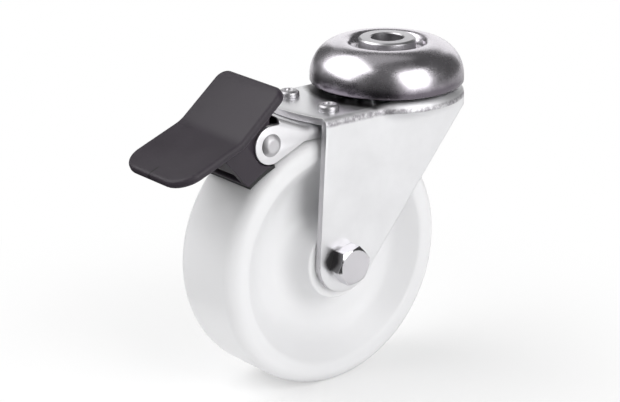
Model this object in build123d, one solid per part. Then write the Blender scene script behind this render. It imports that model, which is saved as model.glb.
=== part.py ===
from build123d import *
from math import acos, atan, atan2, cos, radians, sin, sqrt, tan
import os

# Braked swivel castor with a bolt hole, in millimetres.
# The origin is the centre of the bush's top face, which bolts up under the furniture.
# +Z is up, the wheel trails towards -X, and its axle runs along Y.

# Driving dimensions
wheel_diameter = 100.0
wheel_width = 35.0
wheel_headroom = 4.5
swivel_offset = 37.5
bolt_hole_diameter = 12.5

# Hub bush
bush_diameter = 22.0
bush_collar_height = 4.6
bush_chamfer = 1.4
bush_shank_diameter = 18.0
bush_flare_diameter = 23.0
bush_flare_height = 1.4

# Swivel cap
cap_sheet = 2.2
cap_overhang = 9.5
cap_height = 16.8
cap_side_height = 2.3
cap_crest_diameter = 34.0
cap_floor_diameter = 24.0

# Fork
fork_sheet = 2.8
leg_side_gap = 0.6
fork_bend_radius = 2.6
crown_depth = 19.2
crown_front_reach = 51.0
crown_front_corner_reach = 47.0
head_overhang = 9.7
head_rim_height = 3.4
head_lip_gap = 0.7
head_lip_radius = 3.6
head_lip_set_in = 0.1
head_lip_race_gap = 1.2
head_lip_front_reach = 19.0
head_cone_angle = 28.0
head_rear_depth = 6.2
head_blend_radius = 5.0
fork_hole_inset = 7.0
leg_end_radius = 12.2
leg_end_rise = 0.8

# Swivel head bearing
upper_ball_diameter = 6.35
upper_ball_circle = 40.0
upper_ball_count = 17
lower_ball_diameter = 4.76
lower_circle_inset = 5.0
lower_ball_count = 17
ball_groove_depth = 0.9
race_sheet = 2.0
upper_race_lip = 4.0
lower_race_lip = 2.8

# Brake bracket
bracket_sheet = 2.0
bracket_side_gap = 1.9
bracket_bend_radius = 3.0
bracket_rear_reach = 27.5
bracket_ramp_gap = 0.3
bracket_ramp_end_back = 3.9
bracket_ramp_angle = 23.0
bracket_flange_drop = 5.2
bracket_low_kink_back = 15.3
ear_radius = 7.2

# Pivot pin, placed from the axle and the top face
pin_forward = 31.0
pin_drop = 25.9
pin_diameter = 5.0
pin_head_diameter = 8.6
pin_head_height = 2.0
pin_upset_diameter = 7.4
pin_upset_height = 1.3

# Bracket rivets
rivet_reach = 38.2
rivet_diameter = 4.8
rivet_head_diameter = 8.0
rivet_head_height = 2.5
rivet_dimple_diameter = 3.8
rivet_dimple_depth = 0.9
rivet_tail_diameter = 5.8
rivet_tail_height = 0.9

# Detent spring
spring_sheet = 0.7
spring_width = 21.0
spring_rear_reach = 34.0

# Pedal
pedal_width = 38.8
pedal_inner_width = 37.4
pedal_outer_width = 38.2
pedal_thickness = 3.3
pedal_inner_thickness = 4.0
pedal_inner_back = 4.4
pedal_inner_drop = 4.9
pedal_kink_ahead = 15.1
pedal_kink_drop = 21.6
pedal_outer_ahead = 42.5
pedal_outer_drop = 32.3
pedal_kink_radius = 14.0
pedal_outer_corner = 9.0
pedal_inner_corner = 4.5
block_width = 32.6
block_front_lead = 6.4
body_setback = 0.6
pocket_wall = 3.0
pocket_height = 5.2
pocket_depth = 9.5
pocket_floor = 1.2
pocket_lead_angle = 3.0
pedal_hub_radius = 6.4
brake_travel = 12.0

# Brake shoe
shoe_sheet = 1.5
shoe_front_angle = 35.5
shoe_heel_angle = 20.5

# Wheel
tread_shoulder_radius = 5.5
wheel_rim_wall = 8.0
wheel_rim_slope = 6.0
wheel_crest_radius = 1.5
wheel_dish_fillet = 8.0
wheel_boss_fillet = 6.0
wheel_boss_edge_radius = 1.0
wheel_web = 12.0
wheel_boss_diameter = 29.6
wheel_boss_overhang = 0.6
wheel_boss_draft = 1.0

# Wheel bearing and axle
axle_diameter = 8.0
tube_wall = 1.9
roller_diameter = 3.5
roller_count = 10
cage_inset = 1.1
roller_end_wall = 2.5
bolt_head_width = 13.0
bolt_head_height = 5.4
bolt_head_turn = 12.0
nut_height = 8.0
nut_collar_height = 2.2
nut_turn = 21.0
bolt_thread_beyond = 1.6
insert_wall = 1.1
insert_height = 2.0

# Clearances
bolt_clearance = 0.15
pin_clearance = 0.05
rivet_clearance = 0.05
rivet_side_clearance = 0.1
running_clearance = 0.05
ball_clearance = 0.04
cage_clearance = 0.3
shoe_clearance = 0.15
shoe_seat_clearance = 0.03
ear_clearance = 0.6
hub_side_clearance = 0.4
cap_clearance = 0.05

# Places worked out from the sizes
wheel_radius = wheel_diameter / 2
wheel_boss_width = wheel_width + 2 * wheel_boss_overhang
cage_length = wheel_boss_width - 2 * cage_inset
roller_length = cage_length - 2 * roller_end_wall
wheel_crest_diameter = wheel_diameter - 2 * wheel_rim_wall
wheel_dish_diameter = wheel_crest_diameter - 2 * wheel_rim_slope
crown_top = -crown_depth
crown_under = crown_top - fork_sheet
axle_x = -swivel_offset
axle_z = crown_under - wheel_headroom - wheel_radius
total_height = wheel_radius - axle_z
pin_x = axle_x - pin_forward
pin_z = -pin_drop
bracket_ramp_start = crown_front_reach + bracket_ramp_gap
bracket_ramp_end = -pin_x - bracket_ramp_end_back
bracket_low_kink_reach = -pin_x - bracket_low_kink_back
pedal_inner_reach = -pin_x - pedal_inner_back
pedal_kink_reach = pedal_kink_ahead - pin_x
pedal_outer_reach = pedal_outer_ahead - pin_x
cap_diameter = upper_ball_circle + 2 * cap_overhang
head_diameter = upper_ball_circle + 2 * head_overhang
fork_hole_diameter = upper_ball_circle - 2 * fork_hole_inset
lower_ball_circle = upper_ball_circle - 2 * lower_circle_inset
upper_race_diameter = upper_ball_circle + 2 * upper_race_lip
lower_race_diameter = lower_ball_circle + 2 * lower_race_lip
leg_inner_half = wheel_boss_width / 2 + leg_side_gap
fork_half = leg_inner_half + fork_sheet
fork_width = 2 * fork_half
bracket_half = leg_inner_half - bracket_side_gap
bracket_width = 2 * bracket_half
bracket_inner_half = bracket_half - bracket_sheet
rivet_spacing = 2 * (bracket_inner_half - rivet_side_clearance) - rivet_tail_diameter
web_under = crown_under - bracket_sheet
spring_under = web_under - spring_sheet

side_plane = Plane.XZ
wheel_axis = Axis((axle_x, 0, axle_z), (0, 1, 0))
wheel_plane = Plane(origin=(axle_x, 0, axle_z), x_dir=(1, 0, 0), z_dir=(0, 0, 1))


def outline(points):
    """Face inside a closed line of straight runs, each point given with its corner radius."""
    places = [(across, up) for across, up, radius in points]
    radii = [radius for across, up, radius in points]
    return make_face(FilletPolyline(*places, radius=radii, close=True))


def side_prism(face, half_width):
    """A side outline drawn in X and Z, made as wide as the piece."""
    return extrude(side_plane * face, half_width, both=True)


def turned(face):
    """A section drawn as radius and height, turned about the swivel axis."""
    return revolve(side_plane * face, Axis.Z)


def turned_on_wheel(face):
    """A section drawn as radius and place along Y, turned about the wheel's axle."""
    return revolve(wheel_plane * face, wheel_axis)


def along_y(radius, y_from, y_to, x, z):
    """Round bar along Y between two places."""
    bar_plane = Plane(origin=(x, y_from, z), x_dir=(1, 0, 0), z_dir=(0, 1, 0))
    return extrude(bar_plane * Circle(radius), y_to - y_from)


def along_z(radius, z_from, z_to, x=0, y=0):
    """Round bar along Z between two places."""
    return extrude(Plane.XY.offset(z_from) * Pos(x, y) * Circle(radius), z_to - z_from)


def ball_ring(ball_diameter, circle_diameter, count, height):
    """Ring of loose balls about the swivel axis."""
    radius = circle_diameter / 2
    ring = []
    for k in range(count):
        turn = radians(360 * k / count)
        ring.append(Pos(radius * cos(turn), radius * sin(turn), height) * Sphere(ball_diameter / 2))
    return ring


def write(node, shape):
    """Write one sub-part under its node name."""
    solids = shape if isinstance(shape, list) else [shape]
    parts = [solid for item in solids for solid in item.solids()]
    body = parts[0] if len(parts) == 1 else Compound(parts)
    export_step(body, f"parts/{node}.step")


# Stack of the swivel head, from the top face down
cap_floor_top = -bush_collar_height
cap_floor_under = cap_floor_top - cap_sheet
upper_ball_radius = upper_ball_diameter / 2
upper_ball_height = crown_top - ball_groove_depth + upper_ball_radius + ball_clearance
lower_ball_radius = lower_ball_diameter / 2
lower_ball_height = crown_under + ball_groove_depth / 2 - lower_ball_radius - ball_clearance
lower_race_under = lower_ball_height - lower_ball_radius - ball_clearance - race_sheet
bush_foot = lower_race_under - bush_flare_height


def make_hub_bush():
    """Turned bush: collar above the cap, shank through the head, foot flared under the lower race."""
    bush_radius = bush_diameter / 2
    shank_radius = bush_shank_diameter / 2
    flare_radius = bush_flare_diameter / 2
    hole_radius = bolt_hole_diameter / 2
    body = turned(outline([
        (hole_radius, 0, 0),
        (bush_radius - bush_chamfer, 0, 0),
        (bush_radius, -bush_chamfer, 0),
        (bush_radius, cap_floor_top, 0),
        (shank_radius, cap_floor_top, 0),
        (shank_radius, lower_race_under, 0),
        (flare_radius, lower_race_under, 0),
        (flare_radius, lower_race_under - bush_flare_height / 2, bush_flare_height / 3),
        (shank_radius, bush_foot, bush_flare_height / 3),
        (hole_radius, bush_foot, 0),
    ]))
    return body


def cap_line(inset):
    """Cap profile from the hub's hole to the lip, moved inwards by the sheet where inset is set."""
    crest_radius = cap_crest_diameter / 2
    floor_radius = cap_floor_diameter / 2
    rim_radius = cap_diameter / 2
    side_foot = -cap_height + cap_side_height
    dish_run = crest_radius - floor_radius
    crest_top = -bush_chamfer + 0.2
    dish_drop = crest_top - cap_floor_top
    dish_turn = 2 * atan(dish_drop / dish_run)
    dish_radius = dish_run / (2 * sin(dish_turn))
    crest_centre = (crest_radius, crest_top - dish_radius)
    floor_centre = (floor_radius, cap_floor_top + dish_radius)
    crest_arc_radius = dish_radius - inset
    floor_arc_radius = dish_radius + inset
    start = (bush_shank_diameter / 2 + cap_clearance, cap_floor_top - inset)
    floor_point = (floor_centre[0], floor_centre[1] - floor_arc_radius)
    halfway = dish_turn / 2
    floor_middle = (floor_centre[0] + floor_arc_radius * sin(halfway),
                    floor_centre[1] - floor_arc_radius * cos(halfway))
    meet = (floor_centre[0] + floor_arc_radius * sin(dish_turn),
            floor_centre[1] - floor_arc_radius * cos(dish_turn))
    crest_middle = (crest_centre[0] - crest_arc_radius * sin(halfway),
                    crest_centre[1] + crest_arc_radius * cos(halfway))
    crest_point = (crest_centre[0], crest_centre[1] + crest_arc_radius)
    side_across = rim_radius - inset - crest_radius
    side_up = crest_point[1] - side_foot
    side = EllipticalCenterArc((crest_radius, side_foot), side_across, side_up, 0, arc_size=90)
    rim_top = (rim_radius - inset, side_foot)
    rim_foot = (rim_radius - inset, -cap_height)
    lines = [
        Line(start, floor_point),
        ThreePointArc(floor_point, floor_middle, meet),
        ThreePointArc(meet, crest_middle, crest_point),
        side,
        Line(rim_top, rim_foot),
    ]
    return lines, start, rim_foot


def make_swivel_cap():
    """Pressed cap, one wall thickness from the hub's hole to the lip."""
    outer, outer_start, outer_foot = cap_line(0)
    inner, inner_start, inner_foot = cap_line(cap_sheet)
    section = make_face([*outer, Line(outer_foot, inner_foot), *inner, Line(inner_start, outer_start)])
    return turned(section)


def make_upper_race():
    """Pressed cup between the cap's floor and the upper balls."""
    seat_radius = bush_shank_diameter / 2 + cap_clearance
    edge_radius = upper_race_diameter / 2
    track_height = upper_ball_height + upper_ball_radius + ball_clearance
    seat_edge = seat_radius + 2 * race_sheet
    cone_foot = upper_ball_circle / 2 - upper_ball_radius
    cup = turned(outline([
        (seat_radius, cap_floor_under, 0),
        (seat_edge, cap_floor_under, 1),
        (cone_foot, track_height + race_sheet - ball_groove_depth, 1),
        (edge_radius, track_height + race_sheet - ball_groove_depth, 0),
        (edge_radius, track_height - ball_groove_depth, 0),
        (cone_foot - race_sheet / 2, track_height - ball_groove_depth, 1),
        (seat_edge - race_sheet, cap_floor_under - race_sheet, 1),
        (seat_radius, cap_floor_under - race_sheet, 0),
    ]))
    track = Pos(0, 0, upper_ball_height) * Torus(upper_ball_circle / 2, upper_ball_radius + ball_clearance)
    return cup - track


def make_lower_race():
    """Pressed cup under the fork's head, held by the bush's flared foot."""
    seat_radius = bush_shank_diameter / 2 + cap_clearance
    edge_radius = lower_race_diameter / 2
    track_radius = lower_ball_radius + ball_clearance
    rim_top = lower_ball_height - lower_ball_radius / 3
    cup = turned(outline([
        (seat_radius, lower_race_under + race_sheet + ball_groove_depth, 0),
        (lower_ball_circle / 2 - lower_ball_radius, lower_race_under + race_sheet + ball_groove_depth, 0),
        (lower_ball_circle / 2 + lower_ball_radius / 2, lower_race_under + race_sheet, 0),
        (edge_radius - race_sheet, rim_top, 0),
        (edge_radius, rim_top, 0),
        (edge_radius, lower_race_under + race_sheet, race_sheet),
        (edge_radius - race_sheet, lower_race_under, 0),
        (seat_radius, lower_race_under, 0),
    ]))
    track = Pos(0, 0, lower_ball_height) * Torus(lower_ball_circle / 2, track_radius)
    return cup - track


def tangent_point(centre, radius, outside, side):
    """Point where a straight line from an outside point touches a circle, on the side +1 or -1."""
    across = outside[0] - centre[0]
    up = outside[1] - centre[1]
    turn = atan2(up, across) + side * acos(radius / sqrt(across ** 2 + up ** 2))
    return centre[0] + radius * cos(turn), centre[1] + radius * sin(turn)


def head_cone(inset):
    """Tapered underside of the round head, moved inwards by the sheet where inset is set."""
    slope = tan(radians(head_cone_angle))
    lift = inset / cos(radians(head_cone_angle))
    top = crown_top - max(head_rim_height, inset)
    edge = head_diameter / 2 - (lift + crown_top - head_rim_height - top) / slope
    waist = leg_inner_half - fork_sheet
    foot = top - (edge - waist) * slope
    return turned(outline([(0, top, 0), (edge, top, 0), (waist, foot, 0), (0, foot, 0)]))


def make_head_lip():
    """Raised lip round the head that closes the gap under the cap, open towards the tongue."""
    edge = head_diameter / 2 - head_lip_set_in
    inner = upper_race_diameter / 2 + head_lip_race_gap
    foot = crown_top - 0.8 * fork_bend_radius
    top = -cap_height - head_lip_gap
    lip = turned(outline([(inner, foot, 0), (edge, foot, 0), (edge, top, head_lip_radius), (inner, top, 0)]))
    rear_room = Pos(head_diameter - head_lip_front_reach, 0, foot)
    rear_room *= Box(2 * head_diameter, 2 * head_diameter, head_diameter)
    return lip & rear_room


def make_fork():
    """Pressed fork: round drawn head and flat tongue on top, two folded legs below."""
    head_radius = head_diameter / 2
    head_rim_foot = crown_top - head_rim_height
    rear_corner = (sqrt(head_radius ** 2 - fork_half ** 2), crown_top - head_rear_depth)
    depth = total_height
    reach = crown_front_reach + head_diameter

    # Crown: round head, and a tongue with a slightly bowed front edge
    bow = ThreePointArc((-crown_front_corner_reach, fork_half), (-crown_front_reach, 0),
                        (-crown_front_corner_reach, -fork_half))
    sides = Polyline((-crown_front_corner_reach, -fork_half), (0, -fork_half), (0, fork_half),
                     (-crown_front_corner_reach, fork_half))
    top_face = make_face([bow, sides]) + Circle(head_radius)
    neck = [corner for corner in top_face.vertices() if -head_radius < corner.X < -1]
    top_face = fillet(neck, head_blend_radius)
    crown = extrude(Plane.XY.offset(head_rim_foot) * top_face, head_rim_height) + head_cone(0)
    crown -= head_cone(fork_sheet)
    crown -= Pos(-reach / 2, 0, crown_under - depth / 2) * Box(reach, 2 * leg_inner_half, depth)
    crown -= Pos(reach / 2, 0, rear_corner[1] - depth / 2) * Box(reach, 2 * leg_inner_half, depth)

    # Legs narrow towards the axle, with the rear edge slanted
    leg_centre = (axle_x, axle_z + leg_end_rise)
    rear_touch = tangent_point(leg_centre, leg_end_radius, rear_corner, -1)
    front_touch = (axle_x - leg_end_radius, leg_centre[1])
    leg_face = make_face([
        Polyline((rear_corner[0], head_rim_foot), (-crown_front_corner_reach, head_rim_foot), front_touch),
        ThreePointArc(front_touch, (axle_x, leg_centre[1] - leg_end_radius), rear_touch),
        Polyline(rear_touch, rear_corner, (rear_corner[0], head_rim_foot)),
    ])
    fork = crown + (side_prism(leg_face, fork_half) - side_prism(leg_face, leg_inner_half))
    bends = [edge for edge in fork.edges() if abs(edge.center().Z - crown_top) < 0.01
             and (abs(edge.center().Y) > fork_half - 1 or edge.center().X > 0)]
    fork = fillet(bends, fork_bend_radius) + make_head_lip()

    # Holes and ball tracks
    fork -= along_z(fork_hole_diameter / 2, crown_under - depth, 0)
    fork -= Pos(0, 0, upper_ball_height) * Torus(upper_ball_circle / 2, upper_ball_radius + ball_clearance)
    fork -= Pos(0, 0, lower_ball_height) * Torus(lower_ball_circle / 2, lower_ball_radius + ball_clearance)
    fork -= along_y(axle_diameter / 2 + bolt_clearance, -fork_width, fork_width, axle_x, axle_z)
    for side in (-1, 1):
        fork -= along_z(rivet_diameter / 2 + rivet_clearance, crown_under - 1, 0,
                        -rivet_reach, side * rivet_spacing / 2)
    return fork


def ramp_points(inset):
    """Kink and far end of the bracket's web line, moved down by the sheet where inset is set."""
    angle = radians(bracket_ramp_angle)
    kink = (-bracket_ramp_start - inset * tan(angle / 2), crown_under - inset)
    run = bracket_ramp_end - bracket_ramp_start + bracket_width
    end = (kink[0] - run * cos(angle), kink[1] + run * sin(angle))
    return kink, end


def bracket_form(inset, half_width, radius):
    """Solid under the bracket's web line, with its long top edges rounded."""
    kink, end = ramp_points(inset)
    rear = -bracket_rear_reach + inset
    depth = -total_height
    side = make_face(Polyline((rear, kink[1]), kink, end, (end[0], depth), (rear, depth), close=True))
    form = side_prism(side, half_width)
    long_edges = [edge for edge in form.edges() if edge.center().Z > web_under - 1
                  and abs(abs(edge.center().Y) - half_width) < 0.01 and abs((edge % 0.5).Z) < 0.9]
    return fillet(long_edges, radius)


def make_brake_bracket():
    """Folded channel: web under the fork's tongue, ramp in front of it, two ears for the pin."""
    outer_form = bracket_form(0, bracket_half, bracket_bend_radius)
    inner_form = bracket_form(bracket_sheet, bracket_inner_half, bracket_bend_radius - bracket_sheet)
    inner_form = Pos(2 * bracket_sheet, 0, 0) * inner_form + inner_form

    ear_centre = (pin_x, pin_z)
    low_kink = (-bracket_low_kink_reach, crown_under - bracket_flange_drop)
    low_rear = (-crown_front_corner_reach + 1, low_kink[1])
    rear_drop = crown_under - bracket_bend_radius
    ear_touch = tangent_point(ear_centre, ear_radius, low_kink, -1)
    blade = make_face(Polyline(
        (-bracket_rear_reach, 0),
        (-bracket_ramp_end, 0),
        (-bracket_ramp_end, pin_z + ear_radius),
        (pin_x, pin_z + ear_radius),
        ear_centre,
        ear_touch,
        low_kink,
        low_rear,
        (low_rear[0] + 2, rear_drop),
        (-bracket_rear_reach, rear_drop),
        close=True,
    )) + Pos(*ear_centre) * Circle(ear_radius)
    bracket = (outer_form - inner_form) & side_prism(blade, bracket_width)
    bracket -= along_y(pin_diameter / 2 + pin_clearance, -bracket_width, bracket_width, pin_x, pin_z)
    for side in (-1, 1):
        bracket -= along_z(rivet_diameter / 2 + rivet_clearance, crown_under - 5, 0,
                           -rivet_reach, side * rivet_spacing / 2)
    return bracket


def make_rivets():
    """Two rivets through tongue, bracket and spring, with a dimpled head and a flattened tail."""
    head_radius = rivet_head_diameter / 2
    rivets = []
    for side in (-1, 1):
        place = Pos(-rivet_reach, side * rivet_spacing / 2, 0)
        section = outline([
            (0, crown_top + rivet_head_height - rivet_dimple_depth, 0),
            (rivet_dimple_diameter / 2 - 0.4, crown_top + rivet_head_height - rivet_dimple_depth, 0),
            (rivet_dimple_diameter / 2, crown_top + rivet_head_height, 0),
            (head_radius, crown_top + rivet_head_height, rivet_head_height * 0.6),
            (head_radius, crown_top, 0),
            (rivet_diameter / 2, crown_top, 0),
            (rivet_diameter / 2, spring_under, 0),
            (rivet_tail_diameter / 2, spring_under, 0),
            (rivet_tail_diameter / 2, spring_under - rivet_tail_height, rivet_tail_height / 2),
            (0, spring_under - rivet_tail_height, 0),
        ])
        rivets.append(place * turned(section))
    return rivets


def make_pivot_pin():
    """Pin through the ears, with a domed head on the near side and a smaller upset end."""
    pin = along_y(pin_diameter / 2, -bracket_half, bracket_half, pin_x, pin_z)
    ends = [(-1, pin_head_diameter, pin_head_height), (1, pin_upset_diameter, pin_upset_height)]
    for side, diameter, height in ends:
        dome_radius = ((diameter / 2) ** 2 + height ** 2) / (2 * height)
        dome = Pos(pin_x, side * (bracket_half + height - dome_radius), pin_z) * Sphere(dome_radius)
        faces = sorted([side * bracket_half, side * (bracket_half + height)])
        pin += dome & along_y(diameter, faces[0], faces[1], pin_x, pin_z)
    return pin


def make_detent_spring():
    """Leaf held under the bracket's web by the rivets, its free end bearing on the pedal's hub."""
    bend = (-bracket_ramp_start - spring_sheet, spring_under)
    hub_touch = tangent_point((pin_x, pin_z), pedal_hub_radius + running_clearance, bend, 1)
    rise = atan2(hub_touch[1] - bend[1], bend[0] - hub_touch[0])
    tip = (hub_touch[0] - spring_sheet * cos(rise), hub_touch[1] + spring_sheet * sin(rise))
    lift = spring_sheet * tan(rise / 2)
    leaf = make_face(Polyline(
        (-spring_rear_reach, spring_under),
        bend,
        tip,
        (tip[0] + spring_sheet * sin(rise), tip[1] + spring_sheet * cos(rise)),
        (bend[0] + lift, web_under),
        (-spring_rear_reach, web_under),
        close=True,
    ))
    spring = side_prism(leaf, spring_width / 2)
    for side in (-1, 1):
        spring -= along_z(rivet_diameter / 2 + rivet_clearance, spring_under - 1, web_under + 1,
                          -rivet_reach, side * rivet_spacing / 2)
    return spring


# The tread as the pedal sees it with the brake on: its centre, turned back about the pin
brake_turn = radians(brake_travel)
brake_centre_x = pin_x + (axle_x - pin_x) * cos(brake_turn) - (pin_z - axle_z) * sin(brake_turn)
brake_centre_z = pin_z - (axle_x - pin_x) * sin(brake_turn) - (pin_z - axle_z) * cos(brake_turn)


def brake_point(radius, angle):
    """Place on a circle round the braked tread's centre, by the angle ahead of straight up."""
    turn = radians(angle)
    return brake_centre_x - radius * sin(turn), brake_centre_z + radius * cos(turn)


def brake_arc(radius, from_angle, to_angle):
    """Arc round the braked tread's centre."""
    middle = (from_angle + to_angle) / 2
    return ThreePointArc(brake_point(radius, from_angle), brake_point(radius, middle),
                         brake_point(radius, to_angle))


def make_pedal():
    """Moulded pedal: bent plate, brake block with a front pocket, and the hub between the ears."""
    inner_top = (-pedal_inner_reach, -pedal_inner_drop)
    kink_top = (-pedal_kink_reach, -pedal_kink_drop)
    outer_top = (-pedal_outer_reach, -pedal_outer_drop)
    inner_slope = atan2(inner_top[1] - kink_top[1], inner_top[0] - kink_top[0])
    outer_slope = atan2(kink_top[1] - outer_top[1], kink_top[0] - outer_top[0])
    inner_under = (inner_top[0] + pedal_inner_thickness * sin(inner_slope),
                   inner_top[1] - pedal_inner_thickness * cos(inner_slope))
    outer_under = (outer_top[0] + pedal_thickness * sin(outer_slope),
                   outer_top[1] - pedal_thickness * cos(outer_slope))
    kink_under = (kink_top[0] + pedal_thickness * sin((inner_slope + outer_slope) / 2),
                  kink_top[1] - pedal_thickness * cos((inner_slope + outer_slope) / 2))
    plate = side_prism(outline([
        (*inner_top, 0),
        (*kink_top, pedal_kink_radius),
        (*outer_top, 0),
        (*outer_under, 0),
        (*kink_under, pedal_kink_radius - pedal_thickness),
        (*inner_under, 0),
    ]), pedal_width)
    plan = outline([
        (-pedal_inner_reach, pedal_inner_width / 2, pedal_inner_corner),
        (-pedal_kink_reach, pedal_width / 2, pedal_kink_radius),
        (-pedal_outer_reach, pedal_outer_width / 2, pedal_outer_corner),
        (-pedal_outer_reach, -pedal_outer_width / 2, pedal_outer_corner),
        (-pedal_kink_reach, -pedal_width / 2, pedal_kink_radius),
        (-pedal_inner_reach, -pedal_inner_width / 2, pedal_inner_corner),
    ])
    plate &= extrude(Plane.XY.offset(-total_height) * plan, total_height)

    # Block under the plate, cut back around the ears
    seat_radius = wheel_radius + shoe_clearance + shoe_sheet + shoe_seat_clearance
    front_low = brake_point(seat_radius, shoe_front_angle)
    heel = brake_point(seat_radius, shoe_heel_angle)
    block_face = make_face([
        Polyline((kink_top[0] - block_front_lead, kink_top[1] - pedal_thickness * 1.6), front_low),
        brake_arc(seat_radius, shoe_front_angle, shoe_heel_angle),
        Polyline(
            heel,
            (pin_x + pedal_hub_radius / 2, pin_z - pedal_hub_radius / 2),
            (pin_x - body_setback, pin_z),
            (pin_x - body_setback, inner_under[1] - (inner_under[0] - pin_x) * tan(inner_slope)),
            (kink_top[0] - block_front_lead, kink_top[1] - pedal_thickness * 1.6),
        ),
    ])
    block = side_prism(block_face, block_width / 2)
    hub_half = bracket_inner_half - hub_side_clearance
    ear_room = along_y(ear_radius + ear_clearance, -block_width, block_width, pin_x, pin_z)
    ear_room += Pos(pin_x + block_width / 2, 0, pin_z) * Box(block_width, 2 * block_width, block_width)
    ear_room -= Box(3 * total_height, 2 * hub_half, 3 * total_height)
    pedal = plate + (block - ear_room)
    pedal += along_y(pedal_hub_radius, -hub_half, hub_half, pin_x, pin_z)

    # Pocket in the block's front, above the shoe
    floor_radius = seat_radius + pocket_floor
    along = radians(shoe_front_angle)
    mouth = brake_point(floor_radius, shoe_front_angle + pocket_lead_angle)
    inside = (mouth[0] + pocket_depth * cos(along), mouth[1] + pocket_depth * sin(along))
    pocket_face = outline([
        (*mouth, 0),
        (*inside, 0.8),
        (inside[0] - pocket_height * sin(along), inside[1] + pocket_height * cos(along), 0.8),
        (mouth[0] - pocket_height * sin(along), mouth[1] + pocket_height * cos(along), 0),
    ])
    pedal -= side_prism(pocket_face, block_width / 2 - pocket_wall)
    pedal -= along_y(pin_diameter / 2 + pin_clearance, -block_width, block_width, pin_x, pin_z)
    return pedal


def make_brake_shoe():
    """Sole under the block, curved like the tread so that it beds on it with the brake on."""
    under_radius = wheel_radius + shoe_clearance
    top_radius = under_radius + shoe_sheet
    sole = make_face([
        brake_arc(under_radius, shoe_front_angle, shoe_heel_angle),
        Line(brake_point(under_radius, shoe_heel_angle), brake_point(top_radius, shoe_heel_angle)),
        brake_arc(top_radius, shoe_heel_angle, shoe_front_angle),
        Line(brake_point(top_radius, shoe_front_angle), brake_point(under_radius, shoe_front_angle)),
    ])
    return side_prism(sole, block_width / 2)


# Stack of the wheel's bearing, from the bolt outwards
tube_radius = axle_diameter / 2 + bolt_clearance + tube_wall
roller_circle_radius = tube_radius + running_clearance + roller_diameter / 2
wheel_bore_radius = roller_circle_radius + roller_diameter / 2 + running_clearance


def make_wheel():
    """Moulded wheel: flat tread with round shoulders, dished sides and a hub boss."""
    half = wheel_width / 2
    boss_half = wheel_boss_width / 2
    web_half = wheel_web / 2
    boss_radius = wheel_boss_diameter / 2
    crest_radius = wheel_crest_diameter / 2
    dish_radius = wheel_dish_diameter / 2
    near_side = [
        (wheel_bore_radius, -boss_half, 0),
        (boss_radius, -boss_half, wheel_boss_edge_radius),
        (boss_radius + wheel_boss_draft, -web_half, wheel_boss_fillet),
        (dish_radius, -web_half, wheel_dish_fillet),
        (crest_radius, -half, wheel_crest_radius),
        (wheel_radius, -half, tread_shoulder_radius),
    ]
    far_side = [(across, -along, radius) for across, along, radius in reversed(near_side)]
    return turned_on_wheel(outline(near_side + far_side))


def make_rollers():
    """Loose rollers round the axle tube."""
    rollers = []
    for k in range(roller_count):
        turn = radians(360 * k / roller_count)
        x = axle_x + roller_circle_radius * cos(turn)
        z = axle_z + roller_circle_radius * sin(turn)
        rollers.append(along_y(roller_diameter / 2, -roller_length / 2, roller_length / 2, x, z))
    return rollers


def make_bearing_cage():
    """Cage sleeve with one slot for each roller."""
    wall = roller_diameter / 2 - cage_clearance
    cage = along_y(roller_circle_radius + wall, -cage_length / 2, cage_length / 2, axle_x, axle_z)
    cage -= along_y(roller_circle_radius - wall, -cage_length, cage_length, axle_x, axle_z)
    slot = Box(wheel_bore_radius, roller_length + 2 * cage_clearance, roller_diameter + 2 * running_clearance)
    for k in range(roller_count):
        turn = 360 * k / roller_count
        cage -= Pos(axle_x, 0, axle_z) * Rot(0, -turn, 0) * Pos(roller_circle_radius, 0, 0) * slot
    return cage


def make_axle_tube():
    """Tube that the bolt clamps between the legs, and that the rollers run on."""
    tube = along_y(tube_radius, -leg_inner_half, leg_inner_half, axle_x, axle_z)
    return tube - along_y(axle_diameter / 2 + bolt_clearance, -fork_width, fork_width, axle_x, axle_z)


def hexagon(width, y_from, y_to, turn):
    """Hexagon prism along the axle, its corners taken off by a cone at the outer end."""
    corner = width / sqrt(3)
    outer = max(y_from, y_to, key=abs)
    inner = min(y_from, y_to, key=abs)
    away = 1 if outer > 0 else -1
    flats = Rot(0, turn, 0) * Rot(90, 0, 0) * extrude(RegularPolygon(corner, 6), abs(outer - inner), both=True)
    chamfer_drop = (corner - width / 2) * 0.75
    form = turned_on_wheel(outline([
        (0, inner, 0),
        (corner + 0.2, inner, 0),
        (corner + 0.2, outer - away * (chamfer_drop + 0.2), 0),
        (width / 2 - 0.4, outer, 0),
        (0, outer, 0),
    ]))
    return (Pos(axle_x, (inner + outer) / 2, axle_z) * flats) & form


def make_axle_bolt():
    """Hexagon bolt from the near side, with its end standing just beyond the nut."""
    head = hexagon(bolt_head_width, -fork_half, -fork_half - bolt_head_height, bolt_head_turn)
    end = fork_half + nut_height + bolt_thread_beyond
    shank = along_y(axle_diameter / 2, -fork_half, end, axle_x, axle_z)
    tip = shank.edges().sort_by(Axis.Y)[-1]
    return head + chamfer(tip, 0.8)


def make_axle_nut():
    """Locking nut with a round collar that holds the plastic ring."""
    collar_radius = axle_diameter / 2 + bolt_clearance + insert_wall + 0.8
    hex_end = fork_half + nut_height - nut_collar_height
    nut = hexagon(bolt_head_width, fork_half, hex_end, nut_turn)
    nut += along_y(collar_radius, hex_end - 1, fork_half + nut_height, axle_x, axle_z)
    nut -= along_y(axle_diameter / 2 + bolt_clearance, 0, fork_width, axle_x, axle_z)
    ring_radius = axle_diameter / 2 + bolt_clearance + insert_wall
    ring_start = fork_half + nut_height - insert_height
    return nut - along_y(ring_radius + rivet_clearance, ring_start, fork_width, axle_x, axle_z)


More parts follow.
